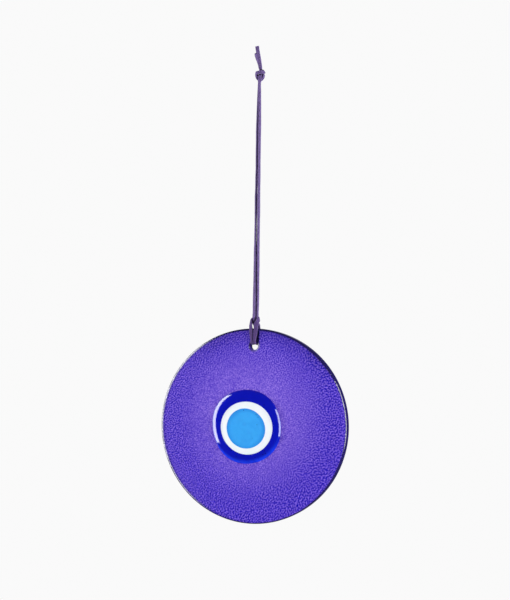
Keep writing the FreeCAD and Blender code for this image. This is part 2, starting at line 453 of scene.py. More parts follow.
def lathe(name, rings, material):
    """A closed piece from rings of (x, y, z) points, closed by one point at each end."""
    around = len(rings[0])
    points = np.concatenate([*rings, rings[0].mean(0, keepdims=True),
                             rings[-1].mean(0, keepdims=True)])
    faces = grid_faces(len(rings), around)
    first, last = len(rings) * around, len(rings) * around + 1
    end = (len(rings) - 1) * around
    for k in range(around):
        after = (k + 1) % around
        faces.append((after, k, first))
        faces.append((end + k, end + after, last))
    piece = mesh_piece(name, points, faces, material)
    face_outwards(piece)
    piece.data.set_sharp_from_angle(angle=math.radians(50))
    return piece


def round_angles(count):
    """Evenly spaced angles once round."""
    return np.linspace(0, 2 * math.pi, count, endpoint=False)


def surface_ring(plan):
    """A ring on the eye's surface from its (x, z) plan."""
    x, z = plan[:, 0], plan[:, 1]
    return np.stack([x, FACE_Y - eye_height(x, z), z], axis=-1)


def bowl_ring(outline, share, depth, angle):
    """A ring of a sunken drop's bowl, below the eye's surface."""
    ring = surface_ring(outline.points(angle, share))
    ring[:, 1] += bowl_depth(share, depth)
    return ring


def drop_rings(outline, inner, depth, angle):
    """Rings of a sunken drop: up its bowl to its edge, then across its top to the next drop."""
    rings = [bowl_ring(outline, share, depth, angle)
             for share in np.linspace(CORE_SHARE, 1.0, BOWL_RINGS)]
    edge = outline.points(angle)
    target = inner.points(angle) if inner else outline.points(angle, CORE_SHARE)
    for share in np.linspace(0.0, 1.0, TOP_RINGS)[1:]:
        rings.append(surface_ring(edge + (target - edge) * share))
    return rings


def pocket_rings(outline, depth, angle):
    """Rings down into the pocket that holds the next drop."""
    return [bowl_ring(outline, share, depth, angle)
            for share in np.linspace(1.0, CORE_SHARE, BOWL_RINGS)[1:]]


def dome_piece(material):
    """The cobalt drop: a dish below, a steep flank, a crown, and a pocket for the white drop."""
    angle = round_angles(DROP_POINTS)
    rings = []
    for share in np.linspace(CORE_SHARE, 1.0, DISH_RINGS):
        plan = DOME.points(angle, share)
        depth = np.full(len(angle), dish_depth(share))
        rings.append(np.stack([plan[:, 0], FACE_Y + depth, plan[:, 1]], axis=-1))
    edge, target = DOME.points(angle), WHITE.points(angle)
    for share in np.linspace(0.0, 1.0, DOME_RINGS)[1:] ** DOME_CROWDING:
        rings.append(surface_ring(edge + (target - edge) * share))
    rings += pocket_rings(WHITE, WHITE_DEPTH, angle)
    return lathe("cobalt_drop", rings, material)


def white_piece(material):
    """The white drop: a bowl with a ring-shaped top and a pocket for the iris."""
    angle = round_angles(DROP_POINTS)
    rings = drop_rings(WHITE, IRIS, WHITE_DEPTH, angle)
    rings += pocket_rings(IRIS, IRIS_DEPTH, angle)
    return lathe("white_drop", rings, material)


def iris_piece(material):
    """The light blue drop in the middle."""
    return lathe("iris_drop", drop_rings(IRIS, None, IRIS_DEPTH, round_angles(IRIS_POINTS)), material)


# ------ the disc's wrinkled face

# A wrinkle field is a square of cells a little larger than the disc.
FIELD_CELLS = 1024
FIELD_SIZE = 2.1 * RIM_RADIUS

# The wrinkles' wavelengths in millimetres, how much each varies, and how steep their flanks are.
WAVELENGTHS = (1.35, 1.5, 1.75)
WAVELENGTH_SPREAD = 0.55
STEEPNESS = 1.5

# The wrinkles' height near the eye, and how much higher they are far from it.
WRINKLE_HEIGHT = 0.045
WRINKLE_GROWTH = 0.075

# Width of the smooth ring round the hole.
HOLE_CALM = 1.5


def wrinkle_field(wavelength):
    """Random worm-like wrinkles: noise kept only near one wavelength, then made steeper."""
    noise = RANDOM.standard_normal((FIELD_CELLS, FIELD_CELLS))
    frequency = np.fft.fftfreq(FIELD_CELLS, FIELD_SIZE / FIELD_CELLS)
    along, across = np.meshgrid(frequency, frequency, indexing="ij")
    distance = np.hypot(along, across) * wavelength
    band = np.exp(-((distance - 1.0) / WAVELENGTH_SPREAD) ** 2)
    field = np.fft.ifft2(np.fft.fft2(noise) * band).real
    return np.tanh(STEEPNESS * field / field.std())


def sample(field, x, z):
    """A field's value at points of the face, from the four nearest cells."""
    u = (x / FIELD_SIZE + 0.5) * FIELD_CELLS
    v = ((z - DISC_Z) / FIELD_SIZE + 0.5) * FIELD_CELLS
    i, j = np.floor(u).astype(int), np.floor(v).astype(int)
    fu, fv = u - i, v - j
    low = field[i, j] * (1 - fu) + field[i + 1, j] * fu
    high = field[i, j + 1] * (1 - fu) + field[i + 1, j + 1] * fu
    return low * (1 - fv) + high * fv


FINE, MIDDLE, COARSE = (wrinkle_field(wavelength) for wavelength in WAVELENGTHS)


def from_eye(x, z):
    """Distance from the eye's centre, as a share of the disc's radius."""
    return np.hypot(x - DOME.x, z - DOME.z) / RIM_RADIUS


def lower_right(x, z):
    """-1 at the disc's upper left edge and 1 at its lower right edge."""
    return (x * 0.8 - (z - DISC_Z) * 0.6) / RIM_RADIUS


def wrinkles(x, z):
    """Wrinkle height from -1 to 1: fine near the eye, coarse near the lower right edge."""
    away, side = from_eye(x, z), lower_right(x, z)
    coarse = smooth_step(0.55, 1.15, away + 0.45 * side)
    middle = smooth_step(0.25, 0.7, away + 0.15 * side) * (1 - coarse)
    fine = 1 - middle - coarse
    return fine * sample(FINE, x, z) + middle * sample(MIDDLE, x, z) + coarse * sample(COARSE, x, z)


def calmness(x, z):
    """0 where the glass is smooth, at the rim and round the hole, and 1 elsewhere."""
    calm = smooth_step(RIM_RADIUS, RIM_RADIUS - EDGE_ROUND, np.hypot(x, z - DISC_Z))
    calm *= smooth_step(HOLE_RADIUS, HOLE_RADIUS + HOLE_CALM, np.hypot(x, z - HOLE_Z))
    return calm


def unit_disc_grid(cells):
    """A square grid bent into a unit disc, with cells of nearly even size."""
    side = np.linspace(-1, 1, cells + 1)
    a, b = np.meshgrid(side, side, indexing="ij")
    wide = np.abs(a) > np.abs(b)
    safe_a, safe_b = np.where(a == 0, 1, a), np.where(b == 0, 1, b)
    radius = np.where(wide, a, b)
    angle = np.where(wide, math.pi / 4 * b / safe_a, math.pi / 2 - math.pi / 4 * a / safe_b)
    return radius * np.cos(angle), radius * np.sin(angle)


def border_loop(cells):
    """Indices of the grid's border points, in order."""
    last, row = cells, cells + 1
    loop = [i * row for i in range(last)]
    loop += [last * row + j for j in range(last)]
    loop += [i * row + last for i in range(last, 0, -1)]
    loop += [j for j in range(last, 0, -1)]
    return loop


# The disc's mesh: cells across its face, steps round an edge, and how the back's rings shrink
# until few enough points are left for one face.
FACE_CELLS = 270
EDGE_STEPS = 8
BACK_RING_SHRINK = 0.82
BACK_FACE_POINTS = 60

# The cutter's mesh: points round it, steps along a flare, and how far its ends stand out.
CUTTER_POINTS = 64
CUTTER_STEPS = 6
CUTTER_OVER = 1.0


def disc_blank():
    """Points and faces of the flat disc: a fine front, a rounded rim and a plain back."""
    cells, row = FACE_CELLS, FACE_CELLS + 1
    x, z = unit_disc_grid(cells)
    flat = RIM_RADIUS - EDGE_ROUND
    points = [np.stack([x.ravel() * flat, np.full(x.size, FACE_Y), z.ravel() * flat], axis=-1)]
    faces = [(i * row + j, (i + 1) * row + j, (i + 1) * row + j + 1, i * row + j + 1)
             for i in range(cells) for j in range(cells)]
    here = border_loop(cells)
    direction = points[0][here] / flat
    around, start = len(here), x.size
    for radius, y in rim_profile(flat):
        ring = direction * radius
        ring[:, 1] = y
        points.append(ring)
        there = list(range(start, start + around))
        faces += [(here[k], here[(k + 1) % around], there[(k + 1) % around], there[k])
                  for k in range(around)]
        here, start = there, start + around
    close_back(points, faces, here, start)
    return np.concatenate(points) + (0, 0, DISC_Z), faces


def rim_profile(flat):
    """The rim from front to back, as (radius, y) pairs. The flat face ends at the radius flat."""
    bend = np.linspace(0, math.pi / 2, EDGE_STEPS + 1)[1:]
    front = [(flat + EDGE_ROUND * math.sin(t), FACE_Y + EDGE_ROUND * (1 - math.cos(t)))
             for t in bend]
    back = [(radius, FACE_Y + BACK_Y - y) for radius, y in front[::-1]]
    return front + back + [(flat, BACK_Y)]


def close_back(points, faces, here, start):
    """Closes the flat back with rings of half as many points each, then one face."""
    while len(here) % 2 == 0 and len(here) > BACK_FACE_POINTS:
        ring = points[-1][::2] * BACK_RING_SHRINK
        ring[:, 1] = BACK_Y
        points.append(ring)
        there = list(range(start, start + len(ring)))
        for k in range(len(ring)):
            after = (k + 1) % len(ring)
            faces.append((here[2 * k], here[2 * k + 1], there[k]))
            faces.append((here[2 * k + 1], here[(2 * k + 2) % len(here)], there[after], there[k]))
        here, start = there, start + len(ring)
    faces.append(tuple(here))


def hole_cutter():
    """A round cutter with flared ends, which leaves the hole with softened edges."""
    angle = round_angles(CUTTER_POINTS)
    bend = np.linspace(0, math.pi / 2, CUTTER_STEPS + 1)
    flare = [(HOLE_RADIUS + HOLE_EDGE_ROUND * (1 - math.sin(t)), HOLE_EDGE_ROUND * (1 - math.cos(t)))
             for t in bend]
    profile = [(HOLE_RADIUS + HOLE_EDGE_ROUND, FACE_Y - CUTTER_OVER)]
    profile += [(radius, FACE_Y + inset) for radius, inset in flare]
    profile += [(radius, BACK_Y - inset) for radius, inset in flare[::-1]]
    profile += [(HOLE_RADIUS + HOLE_EDGE_ROUND, BACK_Y + CUTTER_OVER)]
    rings = [np.stack([radius * np.cos(angle), np.full(CUTTER_POINTS, y),
                       HOLE_Z + radius * np.sin(angle)], axis=-1) for radius, y in profile]
    return lathe("hole_cutter", rings, bpy.data.materials.new("cutter"))


def cut_away(piece, cutter):
    """Cuts the cutter out of the piece and deletes the cutter."""
    cut = piece.modifiers.new("cut", "BOOLEAN")
    cut.operation = "DIFFERENCE"
    cut.solver = "EXACT"
    cut.object = cutter
    graph = bpy.context.evaluated_depsgraph_get()
    mesh = bpy.data.meshes.new_from_object(piece.evaluated_get(graph), depsgraph=graph)
    piece.modifiers.clear()
    piece.data = mesh
    bpy.data.objects.remove(cutter)


def read_points(mesh):
    """The mesh's points in millimetres."""
    points = np.zeros(len(mesh.vertices) * 3)
    mesh.vertices.foreach_get("co", points)
    return points.reshape(-1, 3) / MM


def write_points(mesh, points):
    """Moves the mesh's points to places in millimetres."""
    mesh.vertices.foreach_set("co", (points * MM).ravel())
    mesh.update()


def write_attribute(mesh, name, values):
    """Leaves one number per point for the material."""
    attribute = mesh.attributes.new(name, "FLOAT", "POINT")
    attribute.data.foreach_set("value", np.asarray(values, np.float32))


# The rim's band of painted shade: its width, how much wider it is at the top, and how far it fades.
BAND_WIDTH = 1.1
TOP_BAND_EXTRA = 0.5
BAND_FADE = 0.6

# On the left, how far in from the rim the thin painted dark line and the painted pale highlight
# end: where they are gone, and where they are still full. Then how deep below the face the side wall
# starts.
DARK_LINE_INSET = (0.95, 0.7)
EDGE_HIGHLIGHT_INSET = (1.3, 1.1)
SIDE_WALL_DEPTH = (0.35, 0.8)

# Wrinkles and dish fade out over FACE_FADE below the face. Inside EYE_FADE of the dome's outline
# there are no wrinkles.
FACE_FADE = 1.6
EYE_FADE = 0.97

# The pale glow's centre, to the right of the eye's centre and above it.
GLOW_OFFSET = (2, 6)


def paint_rim(mesh, x, y, z):
    """Marks the rim's band of painted shade, its side wall, whose reflection is turned down so that
    it stays dark, and, on the left, a painted pale highlight inside a thin painted dark line."""
    inset = RIM_RADIUS - np.hypot(x, z - DISC_Z)
    left = smooth_step(-0.4, -0.8, x / RIM_RADIUS)
    width = BAND_WIDTH + TOP_BAND_EXTRA * smooth_step(0.3, 0.75, (z - DISC_Z) / RIM_RADIUS)
    band = smooth_step(width, width - BAND_FADE, inset)
    line = smooth_step(*DARK_LINE_INSET, inset)
    side_start, side_full = (FACE_Y + depth for depth in SIDE_WALL_DEPTH)
    # Painted shade: a dark band on the rim, and a thin dark line on the left.
    write_attribute(mesh, "rim", band * (1 - left) + line * left)
    # Painted highlight: a pale line inside the left edge.
    write_attribute(mesh, "edge_highlight", smooth_step(*EDGE_HIGHLIGHT_INSET, inset) * (1 - line) * left)
    write_attribute(mesh, "side", band * smooth_step(side_start, side_full, y))


def paint_face(mesh, x, z, face, wrinkle):
    """Marks the wrinkled face, its grooves and ridges, and the pale glow round the eye. Between
    the hole and the rim, a strip next to the lace is a painted shadow: the glass there stays clear."""
    # Painted shadow of the lace: this strip of the face is left clear.
    shadow = smooth_step(0.6, 1.0, x) * smooth_step(4.2, 3.8, x) * smooth_step(HOLE_Z, HOLE_Z + 3, z)
    right, up = GLOW_OFFSET
    from_glow = np.hypot(x - DOME.x - right, z - DOME.z - up) / RIM_RADIUS
    write_attribute(mesh, "face", face * (1 - shadow))
    write_attribute(mesh, "wrinkle", wrinkle)
    write_attribute(mesh, "coarse", smooth_step(0.35, 0.8, from_eye(x, z) + 0.2 * lower_right(x, z)))
    write_attribute(mesh, "glow", 1 - smooth_step(0.25, 0.95, from_glow))


def disc_piece(material):
    """The violet disc: cut, dished under the eye, and wrinkled over its face."""
    points, faces = disc_blank()
    piece = mesh_piece("violet_disc", points, faces, material)
    face_outwards(piece)
    cut_away(piece, hole_cutter())
    points = read_points(piece.data)
    x, y, z = points.T
    front = smooth_step(FACE_Y + FACE_FADE, FACE_Y, y)
    height, calm = wrinkles(x, z), calmness(x, z)
    amount = WRINKLE_HEIGHT + WRINKLE_GROWTH * smooth_step(0.3, 1.0, from_eye(x, z))
    share = DOME.share_at(x, z)
    under = smooth_step(1.0, EYE_FADE, share)
    relief = -height * amount * calm * (1 - under)
    dish = np.where(share < 1, np.maximum(dish_depth(share) - FUSED_OVERLAP, 0), 0)
    points[:, 1] = y + front * (relief + dish)
    write_points(piece.data, points)
    paint_rim(piece.data, x, y, z)
    paint_face(piece.data, x, z, front * calm, 0.5 + 0.5 * height * calm)
    piece.data.set_sharp_from_angle(angle=math.radians(60))
    return piece


# ------ the lace

# Each row of the lace's path holds: a point, the way its flat side looks, its width and its
# thickness. The flat side may look either way round: even_rings() makes neighbours agree.

# Rings along the lace, points round each one, and curve steps between two rows.
RING_STEP = 0.4
RING_POINTS = 24
RING_ANGLES = (np.arange(RING_POINTS) + 0.5) * 2 * math.pi / RING_POINTS
CURVE_STEPS = 24

# How uneven the cut edges are, every how many rings, the height of the nap, and their seed.
CUT_UNEVENNESS = 0.06
CUT_SPACING = 7
FUZZ = 0.018
CUT_SEED = 11

# Heights where the lace's bends start and end. The side swing's joint is in the middle of its
# bend, and the front swing's joint in the middle of the next one down.
SIDE_BEND_START = 1.1
SIDE_BEND_END = 2 * SWING_SIDE_Z - SIDE_BEND_START
FRONT_BEND_END = 2 * SWING_FRONT_Z - SIDE_BEND_END
TWIST_START = FRONT_BEND_END - 2.4
FOOT_TOP = TIP_Z + 6.5
FOOT_OVERLAP = 1.0
HITCH_TOP = RIM_Z + 7.5
FOOT_MIDDLE = HITCH_TOP + 4.0
TAIL_BEND_START = KNOT_HIGH[2] + 0.2
TAIL_BEND_END = TAIL_BEND_START + 4.5
KNOT_MIDDLE = (KNOT_LOW[2] + KNOT_HIGH[2]) / 2

# Rows along a leg's long part, and the height of its topmost row, just under the knot.
LEG_ROWS = 24
LEG_END_Z = -1.2

# How the two legs lie in the view. Each row holds the height, how far apart they are across the
# view and into it, and the left and right legs' turn from edge-on, in degrees. TURN_JITTER is how
# many degrees they waver.
LEG_LAY = [
    (0.0, 0.4, 1.8, 0, 10),
    (-12.0, 0.85, 2.9, -12, 12),
    (-18.0, 1.15, 3.0, -14, 12),
    (-30.0, 1.5, 3.1, -15, 12),
    (-62.0, 1.6, 2.9, -10, 12),
    (-78.0, 1.85, 2.5, -10, 12),
    (-111.0, 1.9, 1.3, 8, 24),
    (-145.0, 2.0, 0.5, 20, 30),
    (-155.0, 1.9, 0.4, 20, 30),
]
TURN_JITTER = 3.0
LEG_SEED = 40


def leg_rows(side, heights):
    """One leg's rows at some heights. Side is -1 for the left leg and +1 for the right one."""
    random = np.random.default_rng(LEG_SEED + side)
    places, across, depth, left_turn, right_turn = np.array(LEG_LAY).T
    rows = []
    for z in heights:
        spread = np.interp(-z, -places, across)
        gap = np.interp(-z, -places, depth)
        turn = np.interp(-z, -places, left_turn if side < 0 else right_turn)
        turn = math.radians(turn + random.normal(0, TURN_JITTER))
        point = seen(side * spread / 2, -side * gap / 2, z)
        normal = seen(math.cos(turn), math.sin(turn))
        rows.append((point, normal, LACE_WIDTH, LACE_THICKNESS))
    return rows


# The lace is squeezed a little narrower in the hitch, and much narrower and thinner in the hole.
SNUG_WIDTH = 2.7
TIGHT_WIDTH = 1.9
TIGHT_THICKNESS = 1.0

# Depths of the strands on the front and on the back, where two lie on each other.
HITCH_FRONT_Y = FACE_Y - 0.95
HITCH_BACK_Y = BACK_Y + 0.9
HITCH_OUTER_Y = HITCH_BACK_Y + 1.4


def hitch_rows():
    """The hitch from the left leg to the right one."""
    wide, snug, tight = LACE_WIDTH, SNUG_WIDTH, TIGHT_WIDTH
    thick, thin = LACE_THICKNESS, TIGHT_THICKNESS
    front, back, outer = HITCH_FRONT_Y, HITCH_BACK_Y, HITCH_OUTER_Y
    return [
        # The left leg goes over the rim, down the back, and forward through the hole.
        ((-1.1, -0.5, RIM_Z + 5.0), (-0.8, -0.6, -0.2), wide, thick),
        ((-1.2, 0.9, RIM_Z + 3.1), (-0.5, -0.4, -0.8), wide, thick),
        ((-1.1, BACK_Y + 0.2, RIM_Z + 2.5), (0, -0.5, -0.8), wide, thick),
        ((-0.9, back, RIM_Z - 1.2), (0, -1, 0), wide, thick),
        ((-0.9, back, HOLE_Z + 4.2), (0, -1, 0), wide, thick),
        ((-0.95, BACK_Y, HOLE_Z + 1.9), (-0.3, -0.6, 0.7), tight, thin),
        ((-1.0, 0.0, HOLE_Z + 1.6), (-0.45, 0, 0.9), tight, thin),
        ((-1.0, FACE_Y, HOLE_Z + 1.9), (-0.3, 0.6, 0.7), tight, thin),
        # Up the front.
        ((-1.15, front, HOLE_Z + 4.4), (0.15, 1, 0), 1.7, thick),
        ((-1.55, front, RIM_Z - 1.0), (0.2, 1, 0), 2.2, thick),
        ((-1.85, front - 0.1, RIM_Z + 2.0), (0.5, 0.85, 0), 2.2, thick),
        # Round the back of both legs.
        ((-2.6, -1.2, RIM_Z + 4.7), (1, 0.2, -0.1), snug, thick),
        ((-2.2, 1.3, RIM_Z + 6.1), (0.7, -0.7, -0.3), snug, thick),
        ((-0.2, 2.3, RIM_Z + 6.4), (0, -1, -0.1), snug, thick),
        ((1.6, 1.4, RIM_Z + 6.6), (-0.7, -0.7, -0.3), snug, thick),
        ((2.4, -1.0, RIM_Z + 5.7), (-1, 0.2, -0.1), snug, thick),
        # Down the front.
        ((2.2, front + 0.1, RIM_Z + 3.4), (-0.35, 0.93, -0.1), wide, thick),
        ((1.75, front - 0.1, RIM_Z - 0.4), (-0.1, 1, 0), snug, thick),
        ((1.1, front, HOLE_Z + 4.4), (0, 1, 0), 1.8, thick),
        # Back through the hole, up the back over the first strand, and into the right leg.
        ((1.0, FACE_Y, HOLE_Z + 1.9), (0.3, 0.6, 0.7), tight, thin),
        ((1.0, 0.0, HOLE_Z + 1.6), (0.45, 0, 0.9), tight, thin),
        ((0.8, BACK_Y + 0.4, HOLE_Z + 1.7), (0.2, -0.6, 0.7), tight, thin),
        ((0.35, outer, HOLE_Z + 4.6), (0, -1, 0), snug, thick),
        ((0.2, outer, RIM_Z - 1.4), (0, -1, 0), wide, thick),
        ((0.2, BACK_Y + 0.9, RIM_Z + 2.6), (0, -0.5, -0.8), wide, thick),
        ((0.1, 1.2, RIM_Z + 3.4), (0.4, -0.4, -0.8), wide, thick),
        ((0.7, -0.2, RIM_Z + 5.4), (0.8, 0.4, -0.2), wide, thick),
    ]


# Where each leg meets the hitch.
HITCH_ENDS = {
    -1: ((-1.0, -0.4, HITCH_TOP), (-0.79, -0.62, 0), LACE_WIDTH, LACE_THICKNESS),
    1: ((0.9, -0.2, HITCH_TOP), (0.67, 0.75, 0), LACE_WIDTH, LACE_THICKNESS),
}


# The doubled lace's way through the overhand knot, in the view: to the right, away, and up from
# the knot's middle, and the outward side there.
KNOT_PATH = [
    ((0.3, -1.5, -3.0), (0, -1, 0)),
    ((0.4, -1.5, -1.2), (0, -1, 0.2)),
    ((0.6, -0.4, 0.6), (-0.2, -0.7, 0.8)),
    ((1.3, 0.8, 2.1), (0, -0.2, 1)),
    ((2.2, 0.3, 2.3), (0.6, 0.3, 0.8)),
    ((2.8, -1.0, 1.4), (0.9, -0.4, 0.4)),
    ((1.5, -2.0, 1.5), (0.2, -1, 0.1)),
    ((-0.6, -2.0, 1.1), (-0.3, -1, 0.1)),
    ((-1.8, -0.8, 0.8), (-1, -0.3, 0.1)),
    ((-1.5, 0.6, -0.9), (-0.6, -0.7, -0.3)),
    ((-0.6, 1.4, -2.5), (-0.2, -0.9, -0.4)),
    ((0.8, 1.5, -2.9), (0.2, -0.9, -0.4)),
    ((1.9, 0.8, -1.9), (0.6, -0.7, -0.2)),
    ((2.5, 0.1, -0.3), (0.9, -0.3, 0.2)),
    ((1.5, 0.3, 1.2), (0.8, 0.2, 0.5)),
    ((0.6, 0.3, 2.9), (0.7, 0.2, 0.3)),
]
KNOT_LACE_WIDTH = 2.2
KNOT_LACE_THICKNESS = 0.95


def knot_rows(side):
    """Up through the knot: +1 is the outer strand and -1 the inner one."""
    rows = []
    for (across, depth, up), normal in KNOT_PATH:
        facing = np.array(seen(*normal))
        shift = unit(facing) * side * KNOT_LACE_THICKNESS / 2
        point = seen(across, depth, KNOT_MIDDLE + up) + shift
        rows.append((point, facing, KNOT_LACE_WIDTH, KNOT_LACE_THICKNESS))
    return rows


# Each free end: share of its length, and how far it leans to the left. The short one behind
# leans further.
TAIL_LEAN = [(0.0, -0.5), (0.2, -0.1), (0.45, 0.5), (0.65, 1.1), (0.85, 1.6), (1.0, 1.9)]
SHORT_TAIL_LEAN = 1.0
TAIL_WIDTH = 2.6
SHORT_TIP_WIDTH = 1.5
TAIL_THICKNESS = 1.2
TAIL_HALF_GAP = 0.75
TAIL_TURNS = {-1: 25, 1: 62}

# The tails' tips are cut a little short of the CAD tails' tops.
TAIL_TRIM = 0.5


def tail_rows(side):
    """Up one free end: -1 is the short tail behind and +1 the one in front."""
    turn = math.radians(TAIL_TURNS[side])
    normal = seen(math.cos(turn), math.sin(turn))
    bottom = KNOT_HIGH[2] + JOINT_GAP
    length = TAIL_TOPS[side] - TAIL_TRIM - bottom
    rows = []
    for share, lean in TAIL_LEAN:
        extra = SHORT_TAIL_LEAN * share if side < 0 else 0.0
        point = seen(-lean - extra, -side * TAIL_HALF_GAP, bottom + share * length)
        width = SHORT_TIP_WIDTH if side < 0 and share == 1.0 else TAIL_WIDTH
        rows.append((point, normal, width, TAIL_THICKNESS))
    return rows


def half_lace(side):
    """Half of the lace, upwards from the hitch: each length's name and rows. A length starts
    where one joint's bend has ended, or has not begun."""
    heights = [FOOT_MIDDLE, *np.linspace(FOOT_TOP, FRONT_BEND_END, LEG_ROWS), SWING_FRONT_Z,
               SIDE_BEND_END, LEG_END_Z]
    leg = leg_rows(side, heights)
    upper_end = LEG_ROWS + 2
    return [
        ("foot", [HITCH_ENDS[side], leg[0]]),
        ("long", leg[1:LEG_ROWS]),
        ("upper", leg[LEG_ROWS:upper_end]),
        ("top", leg[upper_end:]),
        ("knot", knot_rows(side)),
        ("tail", tail_rows(side)),
    ]


def even_rings(path):
    """Closely spaced cross-sections of a cut suede strip on a smooth curve through the path's
    rows, and the number of the ring nearest to each row."""
    rows = np.array([[*point, *normal, width, thick] for point, normal, width, thick in path])
    for before, row in zip(rows, rows[1:]):
        if np.dot(before[3:6], row[3:6]) < 0:
            row[3:6] *= -1
    ends = 2 * rows[[0, -1]] - rows[[1, -2]]
    padded = np.concatenate([ends[:1], rows, ends[1:]])
    share = np.linspace(0, 1, CURVE_STEPS, endpoint=False)[:, None]
    fine = [0.5 * (2 * b + (c - a) * share + (2 * a - 5 * b + 4 * c - d) * share ** 2
                   + (3 * b - a - 3 * c + d) * share ** 3)
            for a, b, c, d in zip(padded, padded[1:], padded[2:], padded[3:])]
    fine = np.concatenate([*fine, rows[-1:]])
    steps = np.linalg.norm(np.diff(fine[:, :3], axis=0), axis=1)
    length = np.concatenate([[0], np.cumsum(steps)])
    count = int(round(length[-1] / RING_STEP)) + 1
    even = np.linspace(0, length[-1], count)
    rows = np.stack([np.interp(even, length, column) for column in fine.T], axis=-1)
    ring_of_row = np.round(length[::CURVE_STEPS] / even[1]).astype(int)
    return cross_sections(rows), ring_of_row


def cross_sections(rows):
    """A rounded rectangle at each row, with slightly uneven cut edges."""
    random = np.random.default_rng(CUT_SEED)
    centre, normal, width, thick = rows[:, :3], rows[:, 3:6], rows[:, 6], rows[:, 7]
    tangent = unit(np.gradient(centre, axis=0))
    across = unit(np.cross(tangent, normal))
    normal = np.cross(across, tangent)
    cos, sin = np.cos(RING_ANGLES), np.sin(RING_ANGLES)
    along_width = np.sign(cos) * np.sqrt(np.abs(cos))
    along_thick = np.sign(sin) * np.sqrt(np.abs(sin))
    count = len(rows)
    spots = np.arange(0, count + CUT_SPACING, CUT_SPACING)
    uneven = np.interp(np.arange(count), spots, random.normal(0, CUT_UNEVENNESS, len(spots)))
    fuzz = random.normal(0, FUZZ, (count, RING_POINTS))
    half_width = (width / 2 + uneven)[:, None] + fuzz
    half_thick = (thick / 2)[:, None] + fuzz
    return (centre[:, None, :]
            + across[:, None, :] * (half_width * along_width)[:, :, None]
            + normal[:, None, :] * (half_thick * along_thick)[:, :, None])


def lace_lengths():
    """Every length's rings, by side and name. The hitch is on side 0."""
    halves = {side: half_lace(side) for side in (-1, 1)}
    rows = {side: [row for _, part in halves[side] for row in part] for side in (-1, 1)}
    hitch = hitch_rows()
    rings, ring_of_row = even_rings(rows[-1][::-1] + hitch + rows[1])
    left_end, right_start = len(rows[-1]) - 1, len(rows[-1]) + len(hitch)
    lengths = {(0, "hitch"): rings[ring_of_row[left_end]:ring_of_row[right_start] + 1]}
    for side in (-1, 1):
        start = 0
        for name, part in halves[side]:
            end = min(start + len(part), len(rows[side]) - 1)
            if side > 0:
                first, last = right_start + start, right_start + end
            else:
                first, last = left_end - end, left_end - start
            lengths[side, name] = rings[ring_of_row[first]:ring_of_row[last] + 1]
            start = end
    return lengths


def lace_piece(name, runs, material, tight=0.0):
    """One closed mesh from runs of rings, each capped at both ends. A tight piece gets painted shade.
    """
    points, faces = [], []
    start = 0
    for rings in runs:
        points.append(rings.reshape(-1, 3))
        end = start + (len(rings) - 1) * RING_POINTS
        faces += [tuple(start + k for k in face) for face in grid_faces(len(rings), RING_POINTS)]
        faces.append(tuple(range(start, start + RING_POINTS)))
        faces.append(tuple(range(end, end + RING_POINTS)))
        start = end + RING_POINTS
    piece = mesh_piece(name, np.concatenate(points), faces, material)
    face_outwards(piece)
    # Painted sheen: 1 on the lace's cut edges, where it is paler.
    edge = np.tile(np.cos(RING_ANGLES) ** 2, start // RING_POINTS)
    write_attribute(piece.data, "edge", edge)
    # Painted shade on a tight piece, the hitch.
    write_attribute(piece.data, "tight", np.full(start, tight))
    piece.data.set_sharp_from_angle(angle=math.radians(70))
    return piece


def bend(piece, first, second, start, end):
    """Bakes the piece's placement into its mesh; the piece is not bent."""
    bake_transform(piece)


def make_lace():
    """The lace's pieces. The hitch and the knot are attached to their bodies; the other lengths are
    only baked in place.
    """
    material = suede()
    lengths = lace_lengths()
    # The hitch gets painted shade.
    hitch = lace_piece("lace_hitch_strands", [lengths[0, "hitch"]], material, tight=1.0)
    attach(hitch, "hitch")
    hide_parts("lace_hitch")
    knot = lace_piece("overhand_knot", [lengths[-1, "knot"], lengths[1, "knot"]], material)
    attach(knot, "knot")
    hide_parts("top_knot")
    made = [hitch, knot]
    for side, word in ((-1, "left"), (1, "right")):
        top = lace_piece(word + "_lace_top", [lengths[side, "top"]], material)
        bend(top, "knot", "leg_tops", SIDE_BEND_START, SIDE_BEND_END)
        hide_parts(word + "_leg_top")
        upper = lace_piece(word + "_lace_upper", [lengths[side, "upper"]], material)
        bend(upper, "leg_tops", "upper_legs", SIDE_BEND_END, FRONT_BEND_END)
        long = lace_piece(word + "_lace_leg", [lengths[side, "long"]], material)
        bend(long, "upper_legs", "lower_legs", TWIST_START, FOOT_TOP + FOOT_OVERLAP)
        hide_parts(word + "_leg_upper", word + "_leg_lower")
        foot = lace_piece(word + "_lace_foot", [lengths[side, "foot"]], material)
        bend(foot, "lower_legs", "hitch", FOOT_TOP - FOOT_OVERLAP, HITCH_TOP)
        tail = lace_piece(word + "_tail_end", [lengths[side, "tail"]], material)
        bend(tail, "knot", "tails", TAIL_BEND_START, TAIL_BEND_END)
        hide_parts("tail_back" if side < 0 else "tail_front")
        made += [top, upper, long, foot, tail]


def make_glass():
    """The disc and the three drops of the eye."""
    disc = disc_piece(violet_glass())
    dome = dome_piece(poured_glass("cobalt_glass", DOME, **COBALT))
    white = white_piece(poured_glass("white_glass", WHITE, **WHITE_GLASS))
    iris = iris_piece(poured_glass("light_blue_glass", IRIS, **LIGHT_BLUE))
    for piece, node, slot in ((disc, "glass_disc", "violet_glass"),
                              (dome, "cobalt_dome", "cobalt_glass"),
                              (white, "white_layer", "white_glass"),
                              (iris, "blue_iris", "light_blue_glass")):
        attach(piece, "disc")
        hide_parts(node)


# ------ studio

# Brightness of the backdrop as the camera sees it.
BACKDROP = 0.955

